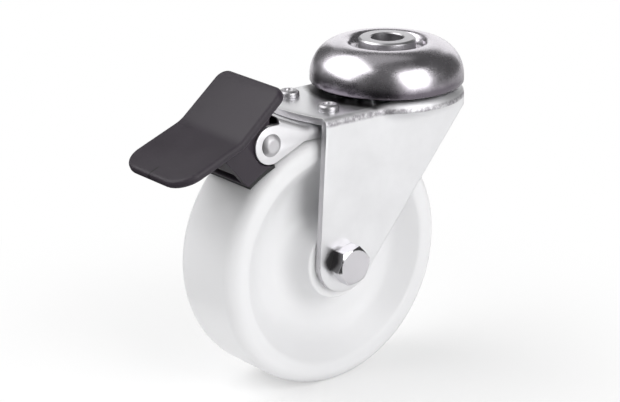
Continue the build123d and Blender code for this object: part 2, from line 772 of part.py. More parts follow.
def make_nut_insert():
    """Plastic ring in the nut's collar that grips the thread."""
    ring_start = fork_half + nut_height - insert_height
    ring_end = fork_half + nut_height - 0.2
    ring = along_y(axle_diameter / 2 + bolt_clearance + insert_wall, ring_start, ring_end, axle_x, axle_z)
    return ring - along_y(axle_diameter / 2 + running_clearance, 0, fork_width, axle_x, axle_z)


os.makedirs("parts", exist_ok=True)
write("hub_bush", make_hub_bush())
write("swivel_cap", make_swivel_cap())
write("upper_race", make_upper_race())
write("lower_race", make_lower_race())
write("upper_balls", ball_ring(upper_ball_diameter, upper_ball_circle, upper_ball_count, upper_ball_height))
write("lower_balls", ball_ring(lower_ball_diameter, lower_ball_circle, lower_ball_count, lower_ball_height))
write("fork", make_fork())
write("brake_bracket", make_brake_bracket())
write("bracket_rivets", make_rivets())
write("pivot_pin", make_pivot_pin())
write("detent_spring", make_detent_spring())
write("pedal", make_pedal())
write("brake_shoe", make_brake_shoe())
write("wheel", make_wheel())
write("bearing_rollers", make_rollers())
write("bearing_cage", make_bearing_cage())
write("axle_tube", make_axle_tube())
write("axle_bolt", make_axle_bolt())
write("axle_nut", make_axle_nut())
write("nut_insert", make_nut_insert())
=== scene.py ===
import bmesh
import bpy
import math
from mathutils import Matrix, Vector


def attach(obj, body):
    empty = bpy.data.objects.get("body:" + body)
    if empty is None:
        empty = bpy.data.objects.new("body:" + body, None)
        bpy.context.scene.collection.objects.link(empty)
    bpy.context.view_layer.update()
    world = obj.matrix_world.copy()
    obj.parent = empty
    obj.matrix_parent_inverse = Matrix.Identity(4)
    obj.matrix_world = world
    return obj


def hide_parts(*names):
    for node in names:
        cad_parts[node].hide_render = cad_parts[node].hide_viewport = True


# A braked furniture castor, hung from the bolt hole in its hub bush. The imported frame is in
# metres with +Z up; lengths below are in millimetres and are brought to metres by mm.
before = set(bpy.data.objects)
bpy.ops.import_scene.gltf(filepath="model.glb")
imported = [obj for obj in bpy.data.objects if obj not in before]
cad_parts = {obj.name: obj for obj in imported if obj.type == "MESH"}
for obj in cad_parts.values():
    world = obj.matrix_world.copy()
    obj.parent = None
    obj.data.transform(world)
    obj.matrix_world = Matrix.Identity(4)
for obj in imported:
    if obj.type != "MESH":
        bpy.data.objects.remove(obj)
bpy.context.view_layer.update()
mm = 0.001

# Hub bush: a turned steel sleeve that the furniture's bolt runs through. Its collar stands in
# the cap's dish and its foot is flared under the lower race. Bright zinc plating over tool marks.
hole_radius, hole_chamfer = 6.25, 0.4
shank_radius = 9.0
collar_radius, collar_foot = 11.0, -4.6
flare_radius, flare_top, bush_foot = 11.5, -28.39, -29.79
bush_profile = [
    (hole_radius, -hole_chamfer, 0), (hole_radius + hole_chamfer, 0.0, 0),
    (collar_radius - 0.7, 0.0, 0.3), (collar_radius, -0.7, 0.3), (collar_radius, collar_foot, 0),
    (shank_radius, collar_foot, 0), (shank_radius, flare_top, 0), (flare_radius, flare_top, 0),
    (flare_radius, flare_top - 0.71, 0.4), (shank_radius, bush_foot, 0.4), (hole_radius, bush_foot, 0),
]


def rounded(corners, steps=6):
    """Closed or open line through corners given as across, along and corner radius."""
    line = []
    count = len(corners)
    for k, (across, along, radius) in enumerate(corners):
        here = Vector((across, along))
        if radius == 0:
            line.append(here)
            continue
        before = Vector(corners[k - 1][:2])
        after = Vector(corners[(k + 1) % count][:2])
        back = (before - here).normalized()
        ahead = (after - here).normalized()
        half_angle = back.angle(ahead) / 2
        run = radius / math.tan(half_angle)
        centre = here + (back + ahead).normalized() * radius / math.sin(half_angle)
        start = here + back * run - centre
        turn = (math.pi - 2 * half_angle) * (1 if back.x * ahead.y - back.y * ahead.x < 0 else -1)
        for step in range(steps + 1):
            line.append(centre + Matrix.Rotation(turn * step / steps, 2) @ start)
    return line


def piece(name, body, mesh, *materials):
    """Shown piece of the object that rides on a body of the frame."""
    shown = bpy.data.objects.new(name, mesh)
    bpy.context.scene.collection.objects.link(shown)
    for material in materials:
        shown.data.materials.append(material)
    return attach(shown, body)


def turned_mesh(name, line, segments=160, place=Matrix.Identity(4), sharp_angle=32):
    """Mesh of a closed line of radius and height, turned about Z and then set in its place."""
    made = bmesh.new()
    rings = []
    for step in range(segments):
        turn = 2 * math.pi * step / segments
        way = Vector((math.cos(turn), math.sin(turn), 0))
        spots = [way * across + Vector((0, 0, along)) for across, along in line]
        rings.append([made.verts.new(spot * mm) for spot in spots])
    for ring, following in zip(rings, rings[1:] + rings[:1]):
        for k in range(len(line)):
            j = (k + 1) % len(line)
            made.faces.new((ring[k], following[k], following[j], ring[j]))
    bmesh.ops.remove_doubles(made, verts=made.verts, dist=1e-6)
    bmesh.ops.recalc_face_normals(made, faces=made.faces)
    made.transform(place)
    mesh = bpy.data.meshes.new(name)
    made.to_mesh(mesh)
    made.free()
    mesh.shade_smooth()
    mesh.set_sharp_from_angle(angle=math.radians(sharp_angle))
    return mesh


def new_group(name, inputs, outputs):
    """Empty shader node group with named inputs and outputs."""
    tree = bpy.data.node_groups.new(name, "ShaderNodeTree")
    for label, kind, value in inputs:
        socket = tree.interface.new_socket(label, in_out="INPUT", socket_type=kind)
        if value is not None:
            socket.default_value = value
    for label, kind in outputs:
        tree.interface.new_socket(label, in_out="OUTPUT", socket_type=kind)
    return tree, tree.nodes.new("NodeGroupInput"), tree.nodes.new("NodeGroupOutput")


def add_node(tree, kind, settings=None, **inputs):
    """Node with its settings and its inputs by name, or i and a number. A socket is linked."""
    node = tree.nodes.new(kind)
    for label, value in (settings or {}).items():
        setattr(node, label, value)
    for label, value in inputs.items():
        numbered = label[0] == "i" and label[1:].isdigit()
        socket = node.inputs[int(label[1:]) if numbered else label.replace("_", " ")]
        if isinstance(value, bpy.types.NodeSocket):
            tree.links.new(value, socket)
        else:
            socket.default_value = value
    return node


def noise(tree, place, scale, detail, roughness=0.5):
    """Noise value at a place."""
    return add_node(tree, "ShaderNodeTexNoise", Vector=place, Scale=scale, Detail=detail,
                    Roughness=roughness).outputs[0]


def calculate(tree, operation, *values):
    """Result of a calculation with one to three values."""
    inputs = {f"i{k}": value for k, value in enumerate(values)}
    return add_node(tree, "ShaderNodeMath", {"operation": operation}, **inputs).outputs[0]


def vectors(tree, operation, first, second):
    """Result of a calculation with two vectors."""
    return add_node(tree, "ShaderNodeVectorMath", {"operation": operation}, i0=first,
                    i1=second).outputs[0]


def ramp(tree, value, low, high, start=0.0, end=1.0):
    """Value brought from one range to another and held at its ends."""
    return add_node(tree, "ShaderNodeMapRange", Value=value, From_Min=low, From_Max=high, To_Min=start,
                    To_Max=end).outputs[0]


def blend(tree, share, first, second):
    """Colour between two colours."""
    return add_node(tree, "ShaderNodeMix", {"data_type": "RGBA"}, i0=share, i6=first,
                    i7=second).outputs[2]


def object_place(tree):
    """Place in the piece's own coordinates."""
    return add_node(tree, "ShaderNodeTexCoord").outputs["Object"]


def edge_finder(tree, radius):
    """Softened normal near edges, and a mask of the edges themselves."""
    softened = add_node(tree, "ShaderNodeBevel", {"samples": 4}, Radius=radius).outputs[0]
    true_normal = add_node(tree, "ShaderNodeNewGeometry").outputs["Normal"]
    facing = add_node(tree, "ShaderNodeVectorMath", {"operation": "DOT_PRODUCT"}, i0=softened,
                      i1=true_normal)
    return softened, ramp(tree, facing.outputs["Value"], 0.999, 0.9)


def plated_steel_group():
    """Bright zinc plating: cloudy tone, faint drawing lines, fine orange peel and rubbed edges."""
    tree, given, result = new_group("plated_steel", [
        ("Tone", "NodeSocketColor", (0.75, 0.75, 0.76, 1)),
        ("Roughness", "NodeSocketFloat", 0.25),
        ("Cloud Size", "NodeSocketFloat", 60.0),
        ("Line Direction", "NodeSocketVector", (1, 1, 1)),
        ("Line Depth", "NodeSocketFloat", 0.3),
        ("Edge Radius", "NodeSocketFloat", 0.0004),
        ("Edge Rub", "NodeSocketFloat", 0.4),
        ("Relief", "NodeSocketFloat", 0.0),
    ], [("Color", "NodeSocketColor"), ("Roughness", "NodeSocketFloat"), ("Normal", "NodeSocketVector")])
    given = given.outputs
    place = object_place(tree)
    cloud = noise(tree, place, given["Cloud Size"], 5.0, 0.6)
    lines = noise(tree, vectors(tree, "MULTIPLY", place, given["Line Direction"]), 900.0, 3.0)
    peel = noise(tree, place, 500.0, 2.0)
    softened, edge = edge_finder(tree, given["Edge Radius"])
    rubbed = calculate(tree, "MULTIPLY", edge, given["Edge Rub"])
    shaded = add_node(tree, "ShaderNodeVectorMath", {"operation": "SCALE"}, i0=given["Tone"],
                      Scale=ramp(tree, cloud, 0.3, 0.7, 0.93, 1.03))
    tree.links.new(blend(tree, rubbed, shaded.outputs[0], (0.9, 0.9, 0.9, 1)), result.inputs["Color"])
    clouded = calculate(tree, "ADD", given["Roughness"], ramp(tree, cloud, 0.3, 0.7, -0.04, 0.05))
    tree.links.new(calculate(tree, "MULTIPLY_ADD", lines, 0.08, clouded), result.inputs["Roughness"])
    lined = calculate(tree, "MULTIPLY_ADD", lines, given["Line Depth"], peel)
    bump = add_node(tree, "ShaderNodeBump", Strength=0.1, Distance=0.0001,
                    Height=calculate(tree, "ADD", lined, given["Relief"]), Normal=softened)
    tree.links.new(bump.outputs[0], result.inputs["Normal"])
    return tree


plated_steel = plated_steel_group()


def opened(material):
    """Node tree of a material, its Object coordinates and the inputs of its finish."""
    tree = material.node_tree
    finish = next(node for node in tree.nodes if node.type == "GROUP")
    return tree, object_place(tree), finish.inputs


def distance(tree, place, middle, axes):
    """Distance from a middle, counted along some axes only."""
    counted = vectors(tree, "MULTIPLY", vectors(tree, "SUBTRACT", place, middle), axes)
    length = add_node(tree, "ShaderNodeVectorMath", {"operation": "LENGTH"}, i0=counted)
    return length.outputs["Value"]


def ring_marks(material, depth, pitch=1400.0, middle=(0, 0, 0), about_y=False):
    """Fine rings left by turning or drawing, fed to the relief of a material's finish."""
    tree, place, finish = opened(material)
    radius = distance(tree, place, middle, (1, 0, 1) if about_y else (1, 1, 0))
    along = add_node(tree, "ShaderNodeSeparateXYZ", Vector=place).outputs[1 if about_y else 2]
    ring = add_node(tree, "ShaderNodeCombineXYZ", X=radius, Y=along)
    marks = noise(tree, ring.outputs[0], pitch, 3.0)
    tree.links.new(calculate(tree, "MULTIPLY", marks, depth), finish["Relief"])


def finish_material(name, group, metallic=0.0, constants=None, **group_inputs):
    """Principled material whose colour, roughness and normal come from a finish group."""
    material = bpy.data.materials.new(name)
    material.use_nodes = True
    tree = material.node_tree
    shader = tree.nodes["Principled BSDF"]
    finish = tree.nodes.new("ShaderNodeGroup")
    finish.node_tree = group
    for label, value in group_inputs.items():
        finish.inputs[label.replace("_", " ")].default_value = value
    tree.links.new(finish.outputs["Color"], shader.inputs["Base Color"])
    tree.links.new(finish.outputs["Roughness"], shader.inputs["Roughness"])
    tree.links.new(finish.outputs["Normal"], shader.inputs["Normal"])
    shader.inputs["Metallic"].default_value = metallic
    for label, value in (constants or {}).items():
        shader.inputs[label].default_value = value
    return material


hub_steel = finish_material("hub_steel", plated_steel, 1.0, Tone=(0.6, 0.59, 0.61, 1), Roughness=0.32,
                            Line_Direction=(1, 1, 12), Line_Depth=1.0, Edge_Radius=0.0)
ring_marks(hub_steel, 2.5)
hub_mesh = turned_mesh("hub_bush_turned", rounded(bush_profile))
hub = piece("hub_bush_turned", "swivel_head", hub_mesh, hub_steel)
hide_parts("hub_bush")

# Swivel cap: one disc of steel drawn into a dome, dished in the middle for the bush's collar and
# turned down to a thin lip over the ball race. It is clamped by the bush and does not turn.
cap_sheet = 2.2
cap_rim_radius = 29.5
cap_lip = -16.8


def cap_half_line(inset):
    """Cap surface from the collar out to the lip, moved inwards by the sheet."""
    crest_radius, floor_radius = 17.0, 12.0
    crest_top, floor_top, side_foot = -1.2, -4.6, -14.5
    run, drop = crest_radius - floor_radius, crest_top - floor_top
    turn = 2 * math.atan(drop / run)
    bend = run / (2 * math.sin(turn))
    line = [(9.1, floor_top - inset)]
    for step in range(13):
        angle = turn * step / 12
        line.append((floor_radius + (bend + inset) * math.sin(angle),
                     floor_top + bend - (bend + inset) * math.cos(angle)))
    for step in range(1, 13):
        angle = turn * (1 - step / 12)
        line.append((crest_radius - (bend - inset) * math.sin(angle),
                     crest_top - bend + (bend - inset) * math.cos(angle)))
    across = cap_rim_radius - inset - crest_radius
    rise = crest_top - inset - side_foot
    for step in range(1, 41):
        angle = math.pi / 2 * (1 - step / 40)
        line.append((crest_radius + across * math.cos(angle), side_foot + rise * math.sin(angle)))
    line.append((cap_rim_radius - inset, cap_lip + 0.5))
    return line


outer_cap = cap_half_line(0)
inner_cap = cap_half_line(cap_sheet)
lip_round = [(cap_rim_radius - 0.3, cap_lip + 0.1), (cap_rim_radius - 0.8, cap_lip),
             (cap_rim_radius - cap_sheet + 0.5, cap_lip)]
cap_line = outer_cap + lip_round + inner_cap[::-1]
cap_plate = finish_material("cap_plate", plated_steel, 1.0, Roughness=0.23, Cloud_Size=90.0,
                            Line_Direction=(1, 1, 8), Line_Depth=0.5, Edge_Radius=0.0)
ring_marks(cap_plate, 0.8, 2200.0)
# Painted reflection: the cap's lower band above its lip is darkened, with a ragged top, to stand in for
# the dark room it mirrors
tree, place, finish = opened(cap_plate)
height = add_node(tree, "ShaderNodeSeparateXYZ", Vector=place).outputs[2]
ragged = calculate(tree, "MULTIPLY_ADD", noise(tree, place, 160.0, 6.0, 0.7), 3 * mm, height)
painted_lip_reflection = ramp(tree, ragged, -13.2 * mm, -8.5 * mm, 1.0, 0.0)
bright_zinc, painted_reflection_zinc = (0.73, 0.7, 0.745, 1), (0.17, 0.152, 0.178, 1)
tree.links.new(blend(tree, painted_lip_reflection, bright_zinc, painted_reflection_zinc), finish["Tone"])
cap_mesh = turned_mesh("swivel_cap_drawn", cap_line, 256, sharp_angle=60)
cap = piece("swivel_cap_drawn", "swivel_head", cap_mesh, cap_plate)
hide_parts("swivel_cap")

# Ball races of the swivel head: two pressed and hardened cups with a ring of loose balls in each,
# packed with grease between the cap, the fork's crown and the bush's flared foot.
race_steel = finish_material("race_steel", plated_steel, 1.0, Tone=(0.42, 0.42, 0.43, 1), Roughness=0.34)
ball_steel = finish_material("ball_steel", plated_steel, 1.0, Tone=(0.6, 0.6, 0.62, 1), Roughness=0.12)


def dress(node, material):
    """Give a node of the frame its finish."""
    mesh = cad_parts[node].data
    mesh.materials.clear()
    mesh.materials.append(material)


dress("upper_race", race_steel)
dress("lower_race", race_steel)
dress("upper_balls", ball_steel)
dress("lower_balls", ball_steel)

# Fork: one pressed steel plate. Its head is drawn into a shallow round pan for the balls, a flat
# tongue runs forward over the brake, and two legs are folded down to the axle. Satin bright plating.
head_radius = 29.7
fork_half = 21.5
crown_top = -19.2
fork_sheet = 2.6
shoulder_radius = 2.6
neck_radius = 5.0
head_lift = 1.7
tongue_reach = 47
tongue_bow = 4
leg_bend_run = 24.6
ball_hole_radius = 13.0


def crown_outline():
    """Stations round the crown's top outline: place, outward normal and kind of edge."""
    stations = []
    tongue_half = fork_half - shoulder_radius
    for step in range(24):
        share = -1 + 2 * step / 24
        bow = Vector((-tongue_reach - tongue_bow * (1 - share * share), -tongue_half * share))
        stations.append((bow, Vector((-1, 0)), "front"))
    for step in range(17):
        place = Vector((-tongue_reach + leg_bend_run * step / 16, -fork_half))
        stations.append((place, Vector((0, -1)), "leg"))
    neck_x = -math.sqrt((head_radius + neck_radius) ** 2 - (fork_half + neck_radius) ** 2)
    neck = Vector((neck_x, -fork_half - neck_radius))
    stop = math.atan2(-neck.y, -neck.x)
    for step in range(1, 9):
        turn = math.pi / 2 + (stop - math.pi / 2) * step / 8
        out = -Vector((math.cos(turn), math.sin(turn)))
        stations.append((neck - out * neck_radius, out, "leg"))
    first = math.atan2(neck.y, neck.x)
    corner = -math.asin(fork_half / head_radius)
    for step in range(1, 31):
        turn = first + (corner - first) * step / 30
        out = Vector((math.cos(turn), math.sin(turn)))
        stations.append((out * head_radius, out, "leg"))
    for step in range(1, 13):
        turn = corner * (1 - step / 12)
        out = Vector((math.cos(turn), math.sin(turn)))
        stations.append((out * head_radius, out, "rear"))
    near = stations[24:]
    far = [(Vector((p.x, -p.y)), Vector((n.x, -n.y)), kind) for p, n, kind in reversed(near[:-1])]
    return stations[1:24] + near + far


def fork_mesh():
    """Outer skin of the fork from the ball hole out over the shoulder and down the legs."""
    foot_centre = Vector((-37.5, -75.7))
    leg_radius = 12.2
    skirt = 3.6
    rear_corner = Vector((20.49, crown_top - shoulder_radius - skirt))
    away = rear_corner - foot_centre
    touch = math.atan2(away.y, away.x) - math.acos(leg_radius / away.length)
    stations = crown_outline()
    legs = [k for k, station in enumerate(stations) if station[2] == "leg"]
    made = bmesh.new()
    columns = []
    for k, (place, out, kind) in enumerate(stations):
        hole = Vector((place.x, place.y)).normalized() * ball_hole_radius
        share = min(max((place.x + 22) / 6, 0), 1)
        lift = head_lift * share * share * (3 - 2 * share)
        flat_end = place - out * (shoulder_radius + 0.9 * lift) if kind != "front" else place
        column = []
        for share, height in ((0, 0), (0.35, 0), (0.7, 0), (0.9, 0), (1, lift)):
            spot = hole.lerp(flat_end, share)
            column.append(Vector((spot.x, spot.y, crown_top + height)))
        if kind == "front":
            columns.append([made.verts.new(corner * mm) for corner in column])
            continue
        for step in range(1, 9):
            angle = math.pi / 2 * step / 8
            spot = place - out * (shoulder_radius + 0.9 * lift) * (1 - math.sin(angle))
            drop = (shoulder_radius + lift) * (1 - math.cos(angle))
            column.append(Vector((spot.x, spot.y, crown_top + lift - drop)))
        side = -1 if place.y < 0 else 1
        rim_foot = crown_top - shoulder_radius
        bulge = max(abs(place.y) - fork_half, 0)
        for step in range(1, 11):
            t = step / 10
            angle = math.pi / 2 * t
            if kind == "leg":
                drop = 0.3 * bulge * (1 - math.cos(angle)) + skirt * t ** 1.5
                across = side * (fork_half + bulge * (1 - math.sin(angle)))
                column.append(Vector((place.x, across, rim_foot - drop)))
            else:
                spot = place - out * 0.8 * t * t
                column.append(Vector((spot.x, spot.y, rim_foot - skirt * t ** 1.5)))
        if kind == "leg":
            same_side = [j for j in legs if (stations[j][0].y < 0) == (side < 0)]
            share = same_side.index(k) / (len(same_side) - 1)
            share = share if side < 0 else 1 - share
            turn = -math.pi + (touch + math.pi) * share
            foot = foot_centre + leg_radius * Vector((math.cos(turn), math.sin(turn)))
            above = column[-1]
            for step in range(1, 15):
                column.append(above.lerp(Vector((foot.x, side * fork_half, foot.y)), step / 14))
        columns.append([made.verts.new(corner * mm) for corner in column])
    for column, following in zip(columns, columns[1:] + columns[:1]):
        for k in range(min(len(column), len(following)) - 1):
            made.faces.new((column[k], column[k + 1], following[k + 1], following[k]))
    bmesh.ops.recalc_face_normals(made, faces=made.faces)
    top = max(made.faces, key=lambda face: face.calc_center_median().z)
    if top.normal.z < 0:
        bmesh.ops.reverse_faces(made, faces=made.faces)
    mesh = bpy.data.meshes.new("fork_pressed")
    made.to_mesh(mesh)
    made.free()
    return mesh


def settle(shown, sharp_angle=35):
    """Turn the piece's modifiers into plain mesh, smooth but for its sharp edges."""
    graph = bpy.context.evaluated_depsgraph_get()
    mesh = bpy.data.meshes.new_from_object(shown.evaluated_get(graph), preserve_all_data_layers=True,
                                           depsgraph=graph)
    mesh.name = shown.name
    shown.modifiers.clear()
    shown.data = mesh
    mesh.shade_smooth()
    mesh.set_sharp_from_angle(angle=math.radians(sharp_angle))


fork_plate = finish_material("fork_plate", plated_steel, 1.0, Cloud_Size=45.0, Line_Depth=0.2)
tree, place, finish = opened(fork_plate)
parts = add_node(tree, "ShaderNodeSeparateXYZ", Vector=place).outputs
across = calculate(tree, "ABSOLUTE", parts[1])

# Orange peel and a matter skin where the sheet was stretched over the bends
outer = ramp(tree, across, 18.6 * mm, 19.6 * mm)
bend = calculate(tree, "MULTIPLY", outer, ramp(tree, parts[2], -23.2 * mm, -21.8 * mm))
peel = calculate(tree, "MULTIPLY", bend, noise(tree, place, 1100.0, 4.0, 0.65))
tree.links.new(calculate(tree, "MULTIPLY", peel, 9.0), finish["Relief"])
tree.links.new(calculate(tree, "MULTIPLY_ADD", bend, 0.16, 0.33), finish["Roughness"])

# Painted shade: the bolt head's shadow and dark reflection on the leg, and the cap's shadow on the
# tongue under its lip
ragged = calculate(tree, "MULTIPLY_ADD", noise(tree, place, 260.0, 5.0, 0.7), 2.4 * mm, -1.2 * mm)
from_head = distance(tree, place, (-42.2 * mm, 0, -74.8 * mm), (1, 0, 1))
round_head = ramp(tree, calculate(tree, "ADD", from_head, ragged), 4.2 * mm, 6 * mm, 1.0, 0.0)
near_leg = ramp(tree, parts[1], -21.2 * mm, -20.6 * mm, 0.93, 0.0)
from_pivot = distance(tree, place, (0, 0, 0), (1, 1, 0))
under_lip = ramp(tree, calculate(tree, "ADD", from_pivot, ragged), 29.8 * mm, 32.5 * mm, 1.0, 0.0)
tongue_top = calculate(tree, "MULTIPLY", ramp(tree, parts[0], -23 * mm, -18 * mm, 1.0, 0.0),
                       ramp(tree, parts[2], -20.6 * mm, -19.6 * mm))
painted_shade = calculate(tree, "MAXIMUM", calculate(tree, "MULTIPLY", round_head, near_leg),
                    calculate(tree, "MULTIPLY", under_lip, tongue_top))
satin_zinc, painted_shade_colour = (0.86, 0.86, 0.875, 1), (0.1, 0.096, 0.1, 1)
fork_tone = blend(tree, painted_shade, satin_zinc, painted_shade_colour)

# Mottled band along the bends, where the plating is strained
band = calculate(tree, "MULTIPLY", ramp(tree, parts[2], -20.4 * mm, -19.8 * mm, 1.0, 0.0),
                 ramp(tree, parts[2], -22.8 * mm, -21.9 * mm))
on_side = calculate(tree, "MULTIPLY", band, ramp(tree, across, 20.3 * mm, 21 * mm))
patches = ramp(tree, noise(tree, place, 520.0, 4.0, 0.7), 0.38, 0.6, 0.2, 0.95)
strained = calculate(tree, "MULTIPLY", on_side, patches)
strained_zinc = (0.36, 0.34, 0.37, 1)
tree.links.new(blend(tree, strained, fork_tone, strained_zinc), finish["Tone"])
cut_steel = finish_material("cut_steel", plated_steel, 1.0, Tone=(0.66, 0.65, 0.67, 1), Roughness=0.42,
                            Line_Direction=(1, 8, 1), Line_Depth=1.5, Edge_Radius=0.0003, Edge_Rub=0.9)
fork = piece("fork_pressed", "fork", fork_mesh(), fork_plate, cut_steel)
wall = fork.modifiers.new("wall", "SOLIDIFY")
wall.thickness = fork_sheet * mm
wall.offset = -1
wall.use_even_offset = True
wall.material_offset_rim = 1
edges = fork.modifiers.new("edges", "BEVEL")
edges.width = 0.3 * mm
edges.segments = 2
edges.limit_method = "ANGLE"
edges.angle_limit = math.radians(50)
settle(fork)
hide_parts("fork")

# Brake bracket: steel sheet folded into a channel under the tongue. It ramps up in front of the
# fork to let the pedal swing, and its two rounded ears carry the pivot pin.
bracket_plate = finish_material("bracket_plate", plated_steel, 1.0, Tone=(0.85, 0.845, 0.865, 1),
                                Roughness=0.42, Line_Depth=0.2, Edge_Radius=0.0003)


def node_copy(node):
    """Merged copy of a node's mesh, open for work."""
    made = bmesh.new()
    made.from_mesh(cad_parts[node].data)
    bmesh.ops.remove_doubles(made, verts=made.verts, dist=2e-6)
    bmesh.ops.dissolve_limit(made, angle_limit=math.radians(0.4), verts=made.verts, edges=made.edges)
    return made


def eased_copy(node, name, body, material, width):
    """Copy of a node's shape with its sharp edges eased, standing for that node."""
    made = node_copy(node)
    mesh = bpy.data.meshes.new(name)
    made.to_mesh(mesh)
    made.free()
    shown = piece(name, body, mesh, material)
    rounding = shown.modifiers.new("eased", "BEVEL")
    rounding.width = width * mm
    rounding.segments = 3
    rounding.limit_method = "ANGLE"
    rounding.angle_limit = math.radians(32)
    settle(shown)
    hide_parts(node)
    return shown


bracket = eased_copy("brake_bracket", "brake_bracket_folded", "fork", bracket_plate, 0.3)

# Rivets, detent leaf and pivot pin: cold-headed steel rivets hold the bracket and the leaf spring
# under the tongue, and a headed pin carries the pedal between the ears.
rivet_steel = finish_material("rivet_steel", plated_steel, 1.0, Tone=(0.54, 0.53, 0.55, 1),
                              Roughness=0.36)
spring_steel = finish_material("spring_steel", plated_steel, 1.0, Tone=(0.2, 0.21, 0.25, 1),
                               Roughness=0.35)
pin_steel = finish_material("pin_steel", plated_steel, 1.0, Tone=(0.66, 0.65, 0.67, 1), Roughness=0.5)

# Uneven hammered faces of the pin and the rivets
for material, size, depth in ((pin_steel, 330.0, 22.0), (rivet_steel, 700.0, 6.0)):
    tree, place, finish = opened(material)
    tree.links.new(calculate(tree, "MULTIPLY", noise(tree, place, size, 1.0), depth), finish["Relief"])
dress("bracket_rivets", rivet_steel)
dress("detent_spring", spring_steel)

# The pin's near head is struck flatter than the dome of its solid
pin_head_flat = 0.55
made = node_copy("pivot_pin")
head_top = min(corner.co.y for corner in made.verts)
for corner in made.verts:
    corner.co.y = max(corner.co.y, head_top + pin_head_flat * mm)
pin_mesh = bpy.data.meshes.new("pivot_pin_headed")
made.to_mesh(pin_mesh)
made.free()
pin = piece("pivot_pin_headed", "fork", pin_mesh, pin_steel)
settle(pin, 40)
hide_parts("pivot_pin")


# Pedal: one black plastic moulding with a fine spark-eroded grain, a bent foot plate over a block
# that carries the brake shoe. The shoe is a black sole of harder rubber.
def moulded_plastic_group():
    """Moulded plastic: fine grain, faint flow clouds, slightly polished edges and a painted highlight
    that lightens the edges.
    """
    tree, given, result = new_group("moulded_plastic", [
        ("Tone", "NodeSocketColor", (0.03, 0.03, 0.033, 1)),
        ("Roughness", "NodeSocketFloat", 0.5),
        ("Grain Size", "NodeSocketFloat", 2600.0),
        ("Grain Depth", "NodeSocketFloat", 0.3),
        ("Cloud Size", "NodeSocketFloat", 40.0),
        ("Cloud Amount", "NodeSocketFloat", 0.15),
        ("Edge Radius", "NodeSocketFloat", 0.0005),
        ("Edge Polish", "NodeSocketFloat", 0.3),
        ("Edge Wear", "NodeSocketFloat", 0.0),
    ], [("Color", "NodeSocketColor"), ("Roughness", "NodeSocketFloat"), ("Normal", "NodeSocketVector")])
    given = given.outputs
    place = object_place(tree)
    grain = noise(tree, place, given["Grain Size"], 2.0)
    centred = calculate(tree, "SUBTRACT", noise(tree, place, given["Cloud Size"], 4.0), 0.5)
    softened, edge = edge_finder(tree, given["Edge Radius"])
    varied = calculate(tree, "MULTIPLY_ADD", centred, given["Cloud Amount"], 1.0)
    # Painted highlight: the colour is lightened along the edges
    painted_edge_light = calculate(tree, "MULTIPLY_ADD", edge, given["Edge Wear"], varied)
    shaded = add_node(tree, "ShaderNodeVectorMath", {"operation": "SCALE"}, i0=given["Tone"], Scale=painted_edge_light)
    tree.links.new(shaded.outputs[0], result.inputs["Color"])
    polish = calculate(tree, "MULTIPLY", edge, given["Edge Polish"])
    polished = calculate(tree, "SUBTRACT", given["Roughness"], polish)
    tree.links.new(calculate(tree, "MULTIPLY_ADD", centred, 0.2, polished), result.inputs["Roughness"])
    bump = add_node(tree, "ShaderNodeBump", Strength=given["Grain Depth"], Distance=0.0001, Height=grain,
                    Normal=softened)
    tree.links.new(bump.outputs[0], result.inputs["Normal"])
    return tree


moulded_plastic = moulded_plastic_group()
# The pedal's edges are lightened by a painted highlight along its rim
pedal_plastic = finish_material("pedal_plastic", moulded_plastic, Roughness=0.44, Cloud_Size=70.0,
                                Cloud_Amount=0.5, Edge_Radius=0.0011, Edge_Polish=0.2, Edge_Wear=0.9,
                                Grain_Depth=0.5, constants={"Specular IOR Level": 0.32})

# Parting line of the mould down the middle of the outer end
tree, place, finish = opened(pedal_plastic)
parts = add_node(tree, "ShaderNodeSeparateXYZ", Vector=place).outputs
middle_line = ramp(tree, calculate(tree, "ABSOLUTE", parts[1]), 0.12 * mm, 0.5 * mm, 1.0, 0.0)
outer_end = ramp(tree, parts[0], -106.8 * mm, -105.8 * mm, 1.0, 0.0)
parting = calculate(tree, "MULTIPLY", middle_line, outer_end)
black_plastic, parting_black = (0.034, 0.0275, 0.036, 1), (0.003, 0.003, 0.003, 1)
tree.links.new(blend(tree, parting, black_plastic, parting_black), finish["Tone"])
shoe_plastic = finish_material("shoe_plastic", moulded_plastic, Tone=(0.012, 0.012, 0.013, 1),
                               Roughness=0.6)
plate_inner = Vector((-64.1, -4.9))
plate_kink = Vector((-83.6, -21.6))
plate_outer = Vector((-111.0, -32.3))
plate_kink_radius = 14.0
plate_sheet = 3.3
plate_rim = 1.25
inner_half, inner_corner = 18.6, 4.8
outer_half, outer_corner = 19.0, 9.4
block_depth = 1.2


